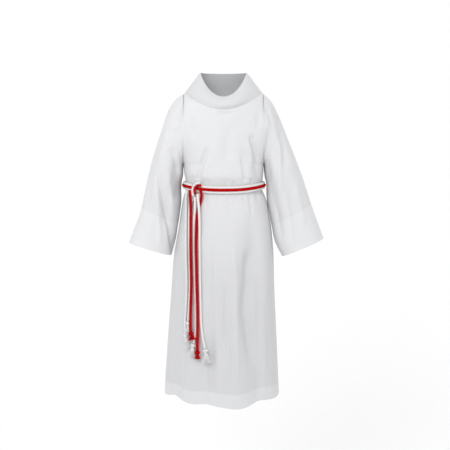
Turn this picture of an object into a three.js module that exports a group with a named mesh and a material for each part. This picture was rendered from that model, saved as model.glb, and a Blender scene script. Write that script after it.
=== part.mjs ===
// A child's alb, worn: wide funnel collar, wide set-in sleeves, long flared body, with its cincture of
// three cords tied at the wearer's right hip. Millimetres, +Z up, the front faces -Y and the wearer's
// left is +X. The origin is between the shoulders, at the height where the collar is sewn on.
import * as THREE from 'three';

// ---- cloth and seams ----
const clothWall = 2.0;            // one layer of cloth, with its air
const collarWall = 3.0;           // the collar is double
const frontDip = 2.1;             // how sharply the body's sections and the collar seam drop in front
const turnUpWall = 1.5;           // cloth turned up inside a hem
const seamGap = 0.3;
const skirtHemRows = 1.0;         // body sections covered by the skirt's turned-up hem
const hemDropRows = 2.5;          // body sections over which the hem's dips die out
const sleeveHemFrom = 8.05;       // sleeve section where the deep sleeve hem starts
const foldFadeTop = 0.45;         // shares of a fold's length over which its two ends die out
const foldFadeLow = 0.3;
const sideFade = 0.12;            // share of half a panel beside its seam that has no folds
const panelColumns = 33;
const sleeveColumns = 22;
const collarColumns = 40;

// ---- armholes, the shared outline of body and sleeves ----
const armholeX = 136;
const armholeTopZ = -3;
const armpitZ = -240;
const armholeHalfDepth = 92;
const armholeFadeRows = 1.5;      // sleeve sections over which the folds start below the armhole
const chestPower = 2.2;           // roundness of the body's plan beside the armholes
const sleevePower = 0.9;          // roundness of a sleeve's section, 1 for an ellipse

// ---- cincture ----
const cordRadius = 4.4;
const turnRadius = 3.8;           // the cord is pulled tighter in the knot's turns
const cordSides = 8;
const strandPitch = 9.1;          // from one waist strand's centre to the next
const strandStandOff = 5.9;       // from the cloth to a strand's centre
const beltRow = 9;                // body section under the middle strand
const endKnotRadius = 7;
const endTailRadius = 6;
const endKnotFrom = 4;            // along an end from its tip: knot, neck and end of the tail
const endKnotTo = 11;
const endNeck = 15;
const endTailTo = 30;
const knotLeft = -0.4;            // where the waist strands start and end, across the front
const knotRight = -0.5;
const sideReach = 0.97;           // how near to a side seam a strand's points lie
const strandSteps = 46;
const freeEndSteps = 18;
const knotTurnSteps = 10;

const clothWhite = 0xe6e8eb;
const cordWhite = 0xf2f4f0;
const cordRed = 0xb4000f;

// Body sections from hem to armpit. Each runs from one side seam to the other; front and back share the
// ends. power is the roundness of the plan, 2 for an ellipse and more for a squarer one.
const bodySections = [
  { right: -203, left: 191, endZ: -1018, frontY: -172, frontZ: -1030, backY: 152, backZ: -1020, power: 2.3 },
  { right: -201, left: 189, endZ: -974, frontY: -170, frontZ: -985, backY: 149, backZ: -976, power: 2.3 },
  { right: -192, left: 183, endZ: -840, frontY: -162, frontZ: -850, backY: 140, backZ: -838, power: 2.3 },
  { right: -178, left: 174, endZ: -657, frontY: -151, frontZ: -666, backY: 129, backZ: -656, power: 2.35 },
  { right: -169, left: 171, endZ: -547, frontY: -143, frontZ: -556, backY: 121, backZ: -546, power: 2.4 },
  { right: -153, left: 163, endZ: -455, frontY: -134, frontZ: -465, backY: 113, backZ: -454, power: 2.45 },
  { right: -145, left: 154, endZ: -400, frontY: -127, frontZ: -411, backY: 106, backZ: -399, power: 2.5 },
  { right: -138, left: 144, endZ: -354, frontY: -120, frontZ: -367, backY: 98, backZ: -352, power: 2.55 },
  { right: -129, left: 132, endZ: -326, frontY: -110.5, frontZ: -340, backY: 88, backZ: -323, power: 2.6 },
  { right: -128, left: 131, endZ: -308, frontY: -109.5, frontZ: -322, backY: 87, backZ: -305, power: 2.6 },
  { right: -129, left: 132, endZ: -291, frontY: -111.5, frontZ: -304, backY: 89, backZ: -288, power: 2.6 },
  { right: -133, left: 135, endZ: -268, frontY: -122, frontZ: -278, backY: 99, backZ: -266, power: 2.55 },
  { right: -136, left: 136, endZ: armpitZ, frontY: -122, frontZ: -248, backY: 101, backZ: -239, power: 2.5 },
];

// Sections above the armpit: their ends lie on the armhole, turn degrees from its top. round says how
// much the ends wrap round to the side.
const chestSections = [
  { turn: 155, frontY: -121.5, frontZ: -228, backY: 103, backZ: -222, round: 0.8 },
  { turn: 130, frontY: -120.5, frontZ: -204, backY: 106, backZ: -196, round: 0.35 },
  { turn: 105, frontY: -119.5, frontZ: -176, backY: 108, backZ: -164, round: 0.08 },
  { turn: 80, frontY: -118.5, frontZ: -147, backY: 109, backZ: -128, round: 0 },
  { turn: 56, frontY: -117, frontZ: -118, backY: 108, backZ: -92, round: 0.15 },
  { turn: 34, frontY: -115.5, frontZ: -91, backY: 105, backZ: -58, round: 0.45 },
  { turn: 14, frontY: -114, frontZ: -71, backY: 99, backZ: -28, round: 0.8 },
  { turn: 3, frontY: -113.3, frontZ: -64, backY: 95.5, backZ: -16.5, round: 0.95 },
];

// Collar rings from its seam to its free edge. side is half the width, dip the sharpness of the
// curve by which the front drops below the two side peaks.
const collarRings = [
  { side: 131.5, sideY: 0, sideZ: 3, frontY: -112.5, frontZ: -57, backY: 92, backZ: -6, dip: frontDip },
  { side: 119, sideY: 1, sideZ: 20, frontY: -118, frontZ: -46, backY: 91, backZ: 14, dip: 2.0 },
  { side: 106, sideY: 3, sideZ: 37, frontY: -114, frontZ: -34, backY: 87, backZ: 35, dip: 1.85 },
  { side: 93, sideY: 6, sideZ: 55, frontY: -103, frontZ: -23, backY: 82, backZ: 55, dip: 1.7 },
  { side: 80, sideY: 9, sideZ: 72, frontY: -87, frontZ: -14, backY: 77, backZ: 74, dip: 1.5 },
];

// Sleeve sections from armhole to cuff: outer and inner edge seen from the front, half the depth, and
// how far the section has swung forward.
const rightSleeveSections = [
  { outX: -136.3, outZ: -3, inX: -136.3, inZ: -240, half: 92, y: 0 },
  { outX: -160, outZ: -18, inX: -137.2, inZ: -248, half: 89, y: -1 },
  { outX: -182, outZ: -45, inX: -137.5, inZ: -260, half: 86, y: -2 },
  { outX: -197, outZ: -80, inX: -138.5, inZ: -277, half: 83, y: -4 },
  { outX: -209, outZ: -120, inX: -143, inZ: -298, half: 80, y: -6 },
  { outX: -224, outZ: -167, inX: -144, inZ: -325, half: 77, y: -8 },
  { outX: -242, outZ: -228, inX: -143.5, inZ: -358, half: 73, y: -11 },
  { outX: -260, outZ: -300, inX: -147, inZ: -396, half: 69, y: -14 },
  { outX: -280, outZ: -388, inX: -153.5, inZ: -441, half: 65, y: -17 },
  { outX: -302, outZ: -449, inX: -162.5, inZ: -493, half: 62, y: -19 },
  { outX: -322, outZ: -501, inX: -177, inZ: -545, half: 60, y: -21 },
];
const leftSleeveSections = [
  { outX: 136.3, outZ: -3, inX: 136.3, inZ: -240, half: 92, y: 0 },
  { outX: 158, outZ: -20, inX: 137.5, inZ: -248, half: 89, y: -1 },
  { outX: 174, outZ: -48, inX: 138.5, inZ: -262, half: 86, y: -2 },
  { outX: 191, outZ: -84, inX: 140.5, inZ: -280, half: 83, y: -4 },
  { outX: 207, outZ: -124, inX: 145.5, inZ: -302, half: 80, y: -6 },
  { outX: 226, outZ: -172, inX: 146.5, inZ: -330, half: 77, y: -8 },
  { outX: 248, outZ: -229, inX: 148.5, inZ: -366, half: 73, y: -11 },
  { outX: 273, outZ: -297, inX: 157, inZ: -408, half: 69, y: -14 },
  { outX: 302, outZ: -383, inX: 165.5, inZ: -452, half: 65, y: -17 },
  { outX: 321, outZ: -437, inX: 175.5, inZ: -500, half: 62, y: -19 },
  { outX: 340, outZ: -487, inX: 199, inZ: -548, half: 60, y: -21 },
];

// The largest folds of the body. at and atTop are places across the panel (-1 and 1 at the side
// seams), from and to are body sections, depth is inwards when negative, and drop is how far the hem
// hangs lower under the fold.
const frontFolds = [
  { at: 0.14, atTop: 0.05, width: 0.16, from: 0, to: 6.5, depth: 9, drop: 10 },
  { at: 0.42, atTop: 0.32, width: 0.12, from: 0, to: 6.8, depth: -11, drop: -4 },
  { at: 0.66, atTop: 0.5, width: 0.13, from: 0, to: 5.5, depth: 6, drop: 0 },
  { at: -0.14, atTop: -0.12, width: 0.1, from: 0, to: 3.2, depth: -8, drop: -4 },
  { at: -0.58, atTop: -0.62, width: 0.15, from: 0, to: 4.5, depth: -9, drop: -13 },
  { at: 0.62, atTop: 0.42, width: 0.1, from: 10, to: 15, depth: -5, drop: 0 },
  { at: -0.48, atTop: -0.34, width: 0.1, from: 10, to: 14, depth: -4, drop: 0 },
];
const backFolds = [
  { at: 0.08, atTop: 0.02, width: 0.16, from: 0, to: 7, depth: -11, drop: -5 },
  { at: -0.3, atTop: -0.22, width: 0.15, from: 0, to: 6.5, depth: 8, drop: 5 },
  { at: 0.4, atTop: 0.3, width: 0.15, from: 0, to: 6.8, depth: 8, drop: 6 },
  { at: -0.62, atTop: -0.5, width: 0.13, from: 0, to: 5.5, depth: -8, drop: -5 },
  { at: 0.7, atTop: 0.58, width: 0.12, from: 0, to: 5, depth: -7, drop: -3 },
  { at: 0.3, atTop: 0.4, width: 0.12, from: 10, to: 15, depth: -5, drop: 0 },
];
// Sleeve folds: at and atTop are degrees round from the outer edge by the front.
const rightSleeveFolds = [
  { at: 118, atTop: 96, width: 17, from: 3.5, to: 10.5, depth: -8 },
  { at: 62, atTop: 70, width: 18, from: 2.5, to: 9, depth: 4 },
  { at: 240, atTop: 250, width: 20, from: 2, to: 10.5, depth: -8 },
  { at: 300, atTop: 290, width: 18, from: 3, to: 10, depth: 5 },
];
const leftSleeveFolds = [
  { at: 100, atTop: 82, width: 16, from: 1.5, to: 6.5, depth: -6 },
  { at: 142, atTop: 122, width: 17, from: 2.5, to: 9.5, depth: -7 },
  { at: 236, atTop: 246, width: 20, from: 2, to: 10.5, depth: -8 },
  { at: 292, atTop: 284, width: 18, from: 3, to: 10, depth: 5 },
];

// Routes of the cincture's free ends: where each lies across and down the front, and how far its
// centre stands off the cloth. They leave the knot, cross the belt and hang on the skirt.
const endRoutes = {
  cord_end_white_1: [[-121.5, 15, -325], [-123, 15, -336], [-124, 12, -348], [-124, 8, -362],
    [-123.5, 5.6, -390], [-124, 5.6, -425], [-124, 5.6, -465], [-124, 5.6, -505], [-123.5, 5.6, -545],
    [-122.5, 5.6, -585], [-122, 5.6, -625], [-122.5, 5.6, -665], [-124.5, 5.6, -703], [-127, 5.7, -740],
    [-128, 5.8, -768], [-125, 8.2, -795]],
  cord_end_white_2: [[-101, 6, -354], [-105, 6, -361], [-108, 6, -368], [-110.5, 5.9, -378],
    [-112, 5.8, -390], [-113, 5.6, -415], [-113, 5.6, -445], [-112.3, 5.6, -480], [-111.5, 5.6, -515],
    [-110.5, 5.6, -550], [-109.8, 5.6, -585], [-110, 5.6, -620], [-111, 5.6, -652], [-112.3, 5.6, -682],
    [-114, 5.8, -710], [-115.5, 6.4, -732], [-116, 8.2, -752]],
  cord_end_red_1: [[-110.8, 15.5, -323], [-111.2, 15.5, -334], [-110, 15.5, -346], [-108.8, 15.5, -360],
    [-108, 15.3, -385], [-107.8, 15, -420], [-108, 14.8, -460], [-108.4, 14.8, -500], [-108, 14.7, -535],
    [-107.2, 14.6, -565], [-106.4, 14.6, -595], [-106, 14.6, -625], [-106.4, 14.6, -660],
    [-107.4, 14.8, -695], [-108.6, 15, -740], [-109, 15.4, -784]],
  cord_end_white_3: [[-95, 14, -345.5], [-93.8, 14.2, -351], [-93.2, 14, -357], [-93.2, 13.8, -364],
    [-93.5, 13.6, -377], [-94, 12.6, -390], [-96, 10, -410], [-97, 8, -430], [-97.2, 6.4, -458], [-97, 5.8, -486], [-96.5, 5.6, -522],
    [-96, 5.6, -560], [-95, 5.6, -590], [-94, 5.6, -620], [-93, 5.6, -650], [-92, 5.6, -680],
    [-91.2, 5.6, -710], [-91, 5.6, -740], [-91.6, 5.6, -768], [-93, 5.8, -795], [-98, 8.2, -824]],
  cord_end_red_2: [[-80, 16.5, -316], [-75.8, 16.8, -323.5], [-73.2, 16.2, -333], [-73, 13.5, -345],
    [-75.5, 7.6, -359], [-80, 5.8, -374], [-85.2, 5.6, -392], [-87.3, 5.8, -415], [-89, 8.8, -450],
    [-90.5, 12, -500], [-90, 12.3, -530], [-89, 12.4, -560], [-88.4, 12.4, -590], [-87.8, 12.4, -620],
    [-87, 12.4, -650], [-86.2, 12.4, -680], [-85.4, 12.4, -715], [-85, 12.4, -750], [-85.2, 12.4, -780],
    [-85.6, 12.4, -810], [-86.4, 12.8, -846]],
  cord_end_white_4: [[-84.5, 18.5, -336], [-84, 18, -345], [-82.5, 17.2, -362], [-80.5, 16, -380], [-79, 13.8, -410],
    [-78, 9.5, -446], [-78.5, 5.8, -490], [-78.2, 5.7, -525], [-78, 5.6, -560], [-77.5, 5.6, -590],
    [-77, 5.6, -620], [-76, 5.6, -655], [-75, 5.6, -690], [-74.4, 5.6, -720], [-74, 5.6, -750],
    [-69, 5.8, -800], [-61, 8.2, -840]],
};

// The knot's turns over the waist strands, in the same terms as the free ends.
const knotRoutes = {
  knot_turn_white: [[-77, 10, -298.5], [-85, 13, -299.5], [-92.5, 15, -303], [-99, 15, -310.5],
    [-102.5, 15, -321], [-102, 15, -331], [-100.5, 14.5, -337], [-97.5, 14, -342.5]],
  knot_turn_red: [[-73.5, 14, -307.5], [-81.5, 16, -306.5], [-89, 16.5, -310], [-93.5, 16.5, -318],
    [-94.5, 16.5, -328], [-92.5, 16.5, -335]],
};

// ---- general helpers ----
const mix = (a, b, t) => a + (b - a) * t;
const clamp = (t, lo, hi) => Math.min(Math.max(t, lo), hi);

function smoothStep(t) {
  const c = clamp(t, 0, 1);
  return c * c * (3 - 2 * c);
}

// A smooth curve through a table's rows, read at a row number that need not be whole.
function readTable(table, row) {
  const last = table.length - 1;
  const i = Math.min(Math.floor(clamp(row, 0, last)), last - 1);
  const t = clamp(row, 0, last) - i;
  const rows = [i - 1, i, i + 1, i + 2].map((k) => table[clamp(k, 0, last)]);
  const result = {};
  for (const key of Object.keys(table[i])) {
    const [a, b, c, d] = rows.map((r) => r[key]);
    const slopeB = (c - a) / 2;
    const slopeC = (d - b) / 2;
    const t2 = t * t;
    const t3 = t2 * t;
    result[key] = b * (2 * t3 - 3 * t2 + 1) + slopeB * (t3 - 2 * t2 + t)
      + c * (3 * t2 - 2 * t3) + slopeC * (t3 - t2);
  }
  return result;
}

// A fold is a soft ridge or trough that fades out at both of its ends.
function foldHeight(folds, across, row, wrap) {
  let height = 0;
  for (const fold of folds) {
    const along = (row - fold.from) / (fold.to - fold.from);
    const fadeTop = smoothStep((fold.to - row) / (foldFadeTop * (fold.to - fold.from)));
    const lowSpan = foldFadeLow * (fold.to - fold.from);
    const fadeLow = fold.from === 0 ? 1 : smoothStep((row - fold.from) / lowSpan);
    let offset = across - mix(fold.at, fold.atTop, clamp(along, 0, 1));
    if (wrap) offset = ((offset + 540) % 360) - 180;
    height += fold.depth * fadeTop * fadeLow * Math.exp(-((offset / fold.width) ** 2));
  }
  return height;
}

// ---- body surface ----
const collarSeamRow = bodySections.length + chestSections.length;

function fullSections() {
  const low = bodySections.map((s) => ({ ...s, endY: 0, round: 1 }));
  const high = chestSections.map((s) => {
    const turn = THREE.MathUtils.degToRad(s.turn);
    const middleZ = (armholeTopZ + armpitZ) / 2;
    return {
      right: -armholeX, left: armholeX, endY: armholeHalfDepth * Math.sin(turn),
      endZ: middleZ + ((armholeTopZ - armpitZ) / 2) * Math.cos(turn),
      frontY: s.frontY, frontZ: s.frontZ, backY: s.backY, backZ: s.backZ, round: s.round, power: chestPower,
    };
  });
  const seam = collarRings[0];
  const top = {
    right: -seam.side, left: seam.side, endY: 0.4, endZ: seam.sideZ - seamGap, frontY: seam.frontY,
    frontZ: seam.frontZ - seamGap, backY: seam.backY, backZ: seam.backZ - seamGap, round: 1, power: 2,
  };
  return [...low, ...high, top];
}
const sections = fullSections();

// A point of the body before its folds; across runs from -1 to 1, side is -1 for front, 1 for back.
function smoothBodyPoint(across, row, side) {
  const s = readTable(sections, row);
  const q = Math.abs(across);
  const sine = Math.sin(q * Math.PI / 2) ** (2 / s.power);
  const cosine = Math.max(Math.cos(q * Math.PI / 2), 0) ** (2 / s.power);
  const reach = mix(q, sine, clamp(s.round, 0, 1));
  const bulge = mix(1 - q * q, cosine, clamp(s.round, 0, 1));
  const centre = (s.right + s.left) / 2;
  const half = (s.left - s.right) / 2;
  const midY = side < 0 ? s.frontY : s.backY;
  const midZ = side < 0 ? s.frontZ : s.backZ;
  const endY = side * Math.max(s.endY, seamGap / 2);
  const sag = Math.max(Math.cos(q * Math.PI / 2), 0) ** frontDip;
  return new THREE.Vector3(
    centre + Math.sign(across) * half * reach,
    mix(endY, midY, bulge),
    mix(s.endZ, midZ, sag),
  );
}

function bodyNormal(across, row, side) {
  const du = 0.004;
  const dv = 0.02;
  const left = smoothBodyPoint(clamp(across + du, -1, 1), row, side);
  const right = smoothBodyPoint(clamp(across - du, -1, 1), row, side);
  const upper = smoothBodyPoint(across, Math.min(row + dv, collarSeamRow), side);
  const lower = smoothBodyPoint(across, Math.max(row - dv, 0), side);
  const normal = left.sub(right).cross(upper.sub(lower)).multiplyScalar(-side).normalize();
  const onSideSeam = Math.abs(across) > 0.999 && row <= bodySections.length - 1;
  if (onSideSeam) normal.set(Math.sign(across), 0, normal.z * 0.5).normalize();
  return normal;
}

function bodyPoint(across, row, side) {
  const folds = side < 0 ? frontFolds : backFolds;
  const edgeFade = smoothStep((1 - Math.abs(across)) / sideFade);
  const height = foldHeight(folds, across, row, false) * edgeFade;
  const point = smoothBodyPoint(across, row, side).addScaledVector(bodyNormal(across, row, side), height);
  for (const fold of folds) {
    const near = Math.exp(-(((across - fold.at) / fold.width) ** 2));
    point.z -= fold.drop * near * edgeFade * smoothStep((hemDropRows - row) / hemDropRows);
  }
  return point;
}

// Halves a span until it closes on the place where a rising measure reaches its target.
function solveRising(lo, hi, target, measure) {
  let low = lo;
  let high = hi;
  for (let step = 0; step < 30; step += 1) {
    const middle = (low + high) / 2;
    if (measure(middle) < target) low = middle;
    else high = middle;
  }
  return (low + high) / 2;
}

// The place at a given x and z that stands off the front by standOff.
function offFront(x, standOff, z) {
  const place = (across, row) => (
    smoothBodyPoint(across, row, -1).addScaledVector(bodyNormal(across, row, -1), standOff));
  let across = 0;
  let row = 6;
  for (let round = 0; round < 8; round += 1) {
    row = solveRising(0, 15, z, (r) => place(across, r).z);
    across = solveRising(-sideReach, sideReach, x, (a) => place(a, row).x);
  }
  const folded = foldHeight(frontFolds, across, row, false);
  return place(across, row).addScaledVector(bodyNormal(across, row, -1), folded);
}

// ---- sleeve surface ----
function smoothSleevePoint(table, degrees, row) {
  const s = readTable(table, row);
  const angle = THREE.MathUtils.degToRad(degrees);
  const cosine = Math.sign(Math.cos(angle)) * Math.abs(Math.cos(angle)) ** sleevePower;
  const sine = Math.sign(Math.sin(angle)) * Math.abs(Math.sin(angle)) ** sleevePower;
  return new THREE.Vector3(
    mix(s.inX, s.outX, (1 + cosine) / 2),
    s.y - s.half * sine,
    mix(s.inZ, s.outZ, (1 + cosine) / 2),
  );
}

// The direction that points out of a sleeve, in the plane of its own section.
function sleeveNormal(table, degrees, row) {
  const s = readTable(table, row);
  const across = new THREE.Vector3(s.outX - s.inX, 0, s.outZ - s.inZ).normalize();
  const ahead = smoothSleevePoint(table, degrees + 1, row);
  const along = ahead.sub(smoothSleevePoint(table, degrees - 1, row));
  const alongAcross = along.dot(across);
  return across.multiplyScalar(-along.y).add(new THREE.Vector3(0, alongAcross, 0)).normalize();
}

function sleevePoint(table, folds, degrees, row) {
  const armholeFade = smoothStep(row / armholeFadeRows);
  const height = foldHeight(folds, degrees, row, true) * armholeFade;
  return smoothSleevePoint(table, degrees, row).addScaledVector(sleeveNormal(table, degrees, row), height);
}

// ---- collar surface ----
function collarPoint(turn, row) {
  const s = readTable(collarRings, row);
  const isFront = turn < 180;
  const angle = THREE.MathUtils.degToRad(turn);
  const swing = Math.abs(Math.sin(angle));
  const midY = isFront ? s.frontY : s.backY;
  const midZ = isFront ? s.frontZ : s.backZ;
  return new THREE.Vector3(
    s.side * Math.cos(angle),
    mix(s.sideY, midY, swing),
    mix(s.sideZ, midZ, swing ** s.dip),
  );
}

// ---- solids ----
// A closed wall between two grids of points with the same rows and columns.
function wallGeometry(outer, inner, closedAround) {
  const rows = outer.length;
  const columns = outer[0].length;
  const positions = [...outer.flat(), ...inner.flat()].flatMap((p) => [p.x, p.y, p.z]);
  const at = (layer, i, j) => layer * rows * columns + i * columns + (j % columns);
  const faces = [];
  const quad = (a, b, c, d) => faces.push(a, b, c, a, c, d);
  const lastColumn = closedAround ? columns : columns - 1;
  for (let i = 0; i < rows - 1; i += 1) {
    for (let j = 0; j < lastColumn; j += 1) {
      quad(at(0, i, j), at(0, i, j + 1), at(0, i + 1, j + 1), at(0, i + 1, j));
      quad(at(1, i, j), at(1, i + 1, j), at(1, i + 1, j + 1), at(1, i, j + 1));
    }
  }
  for (let j = 0; j < lastColumn; j += 1) {
    quad(at(0, 0, j), at(1, 0, j), at(1, 0, j + 1), at(0, 0, j + 1));
    quad(at(0, rows - 1, j), at(0, rows - 1, j + 1), at(1, rows - 1, j + 1), at(1, rows - 1, j));
  }
  if (!closedAround) {
    for (let i = 0; i < rows - 1; i += 1) {
      quad(at(0, i, 0), at(0, i + 1, 0), at(1, i + 1, 0), at(1, i, 0));
      quad(at(0, i, columns - 1), at(1, i, columns - 1), at(1, i + 1, columns - 1), at(0, i + 1, columns - 1));
    }
  }
  const geometry = new THREE.BufferGeometry();
  geometry.setAttribute('position', new THREE.Float32BufferAttribute(positions, 3));
  geometry.setIndex(signedVolume(positions, faces) > 0 ? faces : faces.reverse());
  geometry.computeVertexNormals();
  return geometry;
}

function signedVolume(positions, faces) {
  const corner = (k) => new THREE.Vector3().fromArray(positions, 3 * faces[k]);
  let volume = 0;
  for (let k = 0; k < faces.length; k += 3) {
    volume += corner(k).dot(corner(k + 1).cross(corner(k + 2))) / 6;
  }
  return volume;
}

function spread(from, to, count) {
  return Array.from({ length: count }, (_, k) => mix(from, to, k / (count - 1)));
}

// A panel of the body, from one side seam to the other, lying insideBy under the outer face.
function bodyPanel(side, rowList, insideBy, wall) {
  const columns = spread(-1, 1, panelColumns);
  const layer = (depth) => rowList.map((row) => columns.map((across) => (
    bodyPoint(across, row, side).addScaledVector(bodyNormal(across, row, side), -depth))));
  return wallGeometry(layer(insideBy), layer(insideBy + wall), false);
}

function sleeveTube(table, folds, rowList, insideBy, wall) {
  const columns = spread(0, 360, sleeveColumns + 1).slice(0, -1);
  const layer = (depth) => rowList.map((row) => columns.map((degrees) => (
    sleevePoint(table, folds, degrees, row).addScaledVector(sleeveNormal(table, degrees, row), -depth))));
  return wallGeometry(layer(insideBy), layer(insideBy + wall), true);
}

function collarBand() {
  const columns = spread(0, 360, collarColumns + 1).slice(0, -1);
  const rowList = spread(0, collarRings.length - 1, 5);
  const outer = rowList.map((row) => columns.map((turn) => collarPoint(turn, row)));
  const inner = rowList.map((row, i) => columns.map((turn, j) => {
    const before = outer[i][(j + columns.length - 1) % columns.length];
    const after = outer[i][(j + 1) % columns.length];
    const inward = new THREE.Vector3(before.y - after.y, after.x - before.x, 0).normalize();
    return outer[i][j].clone().addScaledVector(inward, -collarWall);
  }));
  return wallGeometry(outer, inner, true);
}

function cordTube(points, steps, radius = cordRadius) {
  const corners = spread(0, 2 * Math.PI, cordSides + 1).slice(0, -1);
  const round = corners.map((a) => new THREE.Vector2(radius * Math.cos(a), radius * Math.sin(a)));
  const curve = new THREE.CatmullRomCurve3(points, false, 'centripetal');
  return new THREE.ExtrudeGeometry(new THREE.Shape(round), { steps, extrudePath: curve, bevelEnabled: false });
}

// One strand round the waist, from the knot's left round by the back to the knot's right.
function waistStrand(level) {
  const points = [];
  const add = (across, side) => {
    const height = smoothBodyPoint(across, beltRow, side).z + level;
    const row = solveRising(beltRow - 2, beltRow + 2, height, (r) => smoothBodyPoint(across, r, side).z);
    const outward = bodyNormal(across, row, side).setZ(0).normalize();
    points.push(smoothBodyPoint(across, row, side).addScaledVector(outward, strandStandOff));
  };
  for (const across of spread(knotLeft, sideReach, 19)) add(across, -1);
  for (const across of spread(sideReach, -sideReach, 24)) add(across, 1);
  for (const across of spread(-sideReach, knotRight, 6)) add(across, -1);
  return cordTube(points, strandSteps);
}

// A short stretch of cord that ends in a knot and a brushed-out tail, turned on one axis.
function endKnot(route) {
  const path = route.map(([x, off, z]) => offFront(x, off, z));
  const tip = path[path.length - 1];
  const drop = tip.clone().sub(path[path.length - 2]).normalize();
  const profile = [[0, 0], [cordRadius, 0], [endKnotRadius, endKnotFrom], [endKnotRadius, endKnotTo],
    [cordRadius, endNeck], [endTailRadius, endTailTo], [0, endTailTo]];
  const outline = profile.map(([r, along]) => new THREE.Vector2(r, along));
  const geometry = new THREE.LatheGeometry(outline, cordSides);
  const turn = new THREE.Quaternion().setFromUnitVectors(new THREE.Vector3(0, 1, 0), drop);
  geometry.applyQuaternion(turn);
  const start = tip.clone().addScaledVector(drop, seamGap);
  geometry.translate(start.x, start.y, start.z);
  return geometry;
}

// ---- assembly ----
const alb = new THREE.Group();
alb.name = 'alb';

function addPiece(name, geometry, color, roughness) {
  const material = new THREE.MeshStandardMaterial({ color, roughness, metalness: 0 });
  const mesh = new THREE.Mesh(geometry, material);
  mesh.name = name;
  alb.add(mesh);
}

const bodyRows = [0, 0.5, 1, 2, 3, 4, 5, 6, 7, 8, 9, 10, 11, 12, 13, 14, 15, 16, 17, 18, 19, 20, collarSeamRow];
const hemRows = [0, 0.5, skirtHemRows];
const sleeveRows = spread(0, rightSleeveSections.length - 1, 11);
const sleeveHemRows = spread(sleeveHemFrom, rightSleeveSections.length - 1, 3);
const clothRoughness = 0.7;
const cordRoughness = 0.8;

addPiece('front_panel', bodyPanel(-1, bodyRows, 0, clothWall), clothWhite, clothRoughness);
addPiece('back_panel', bodyPanel(1, bodyRows, 0, clothWall), clothWhite, clothRoughness);
addPiece('skirt_hem_front', bodyPanel(-1, hemRows, clothWall + seamGap, turnUpWall), clothWhite, clothRoughness);
addPiece('skirt_hem_back', bodyPanel(1, hemRows, clothWall + seamGap, turnUpWall), clothWhite, clothRoughness);

const sleeves = [
  { side: 'right', table: rightSleeveSections, folds: rightSleeveFolds },
  { side: 'left', table: leftSleeveSections, folds: leftSleeveFolds },
];
for (const { side, table, folds } of sleeves) {
  const tube = sleeveTube(table, folds, sleeveRows, 0, clothWall);
  const turnUp = sleeveTube(table, folds, sleeveHemRows, clothWall + seamGap, turnUpWall);
  addPiece(`sleeve_${side}`, tube, clothWhite, clothRoughness);
  addPiece(`sleeve_hem_${side}`, turnUp, clothWhite, clothRoughness);
}
addPiece('collar', collarBand(), clothWhite, clothRoughness);

addPiece('waist_cord_upper', waistStrand(strandPitch), cordWhite, cordRoughness);
addPiece('waist_cord_middle', waistStrand(0), cordRed, cordRoughness);
addPiece('waist_cord_lower', waistStrand(-strandPitch), cordWhite, cordRoughness);
for (const [name, route] of Object.entries(knotRoutes)) {
  const points = route.map(([x, off, z]) => offFront(x, off, z));
  const color = name.endsWith('red') ? cordRed : cordWhite;
  addPiece(name, cordTube(points, knotTurnSteps, turnRadius), color, cordRoughness);
}
for (const [name, route] of Object.entries(endRoutes)) {
  const points = route.map(([x, off, z]) => offFront(x, off, z));
  const color = name.includes('red') ? cordRed : cordWhite;
  addPiece(name, cordTube(points, freeEndSteps), color, cordRoughness);
  addPiece(name.replace('cord_end', 'end_knot'), endKnot(route), color, cordRoughness);
}

export default alb;
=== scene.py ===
import math
import random

import bpy
import numpy as np
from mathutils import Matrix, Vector, noise


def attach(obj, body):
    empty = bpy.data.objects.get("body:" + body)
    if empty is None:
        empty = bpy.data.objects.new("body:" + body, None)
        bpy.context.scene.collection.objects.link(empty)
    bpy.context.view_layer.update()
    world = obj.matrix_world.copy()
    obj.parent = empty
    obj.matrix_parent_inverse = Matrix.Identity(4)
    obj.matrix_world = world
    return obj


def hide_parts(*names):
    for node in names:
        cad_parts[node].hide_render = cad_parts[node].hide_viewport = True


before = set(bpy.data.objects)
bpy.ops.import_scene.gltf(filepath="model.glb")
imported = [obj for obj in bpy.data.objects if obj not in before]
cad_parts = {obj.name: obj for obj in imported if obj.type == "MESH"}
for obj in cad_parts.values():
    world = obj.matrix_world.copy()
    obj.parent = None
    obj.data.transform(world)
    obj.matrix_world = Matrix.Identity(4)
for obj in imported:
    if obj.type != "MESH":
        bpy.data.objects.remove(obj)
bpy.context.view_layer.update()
bpy.ops.object.select_all(action="DESELECT")
print("frame loaded:", len(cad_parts), "nodes")

# Camera.
viewer = {"place": (0.0051, -3.292, -0.2148), "tilt": 4.0, "lens": 77.2, "sensor": 36.0}
cameraData = bpy.data.cameras.new("viewer")
cameraData.lens = viewer["lens"]
cameraData.sensor_width = viewer["sensor"]
camera = bpy.data.objects.new("viewer", cameraData)
camera.location = viewer["place"]
camera.rotation_euler = (math.radians(90 - viewer["tilt"]), 0, 0)
bpy.context.scene.collection.objects.link(camera)
bpy.context.scene.camera = camera

# Sizes, in metres.
clothWall = 0.002
collarWall = 0.003
turnUpWall = 0.0015
seamGap = 0.0003
frontDip = 2.1
armhole = {"x": 0.136, "top": -0.003, "pit": -0.240, "half": 0.092}
sideFade = 0.12
seamFadeRows = 0.8
beltCalmRows = 0.8
chestPower = 2.2
sleevePower = 0.9
skirtHemRows = 1.0
hemDropRows = 2.5
turnRadius = 0.0041
fullness = {"white": 0.0044, "red": 0.0050}
strandStandOff = 0.0059
beltRow = 9
beltReachRows = 2.0
beltCalmShare = {"creases": 0.85, "unevenness": 0.9}
sideReach = 0.97
unevenHeight = {"body": 0.0022, "sleeve": 0.0024, "collar": 0.0015}
unevenScale = {"across": 17, "down": 6}

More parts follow.
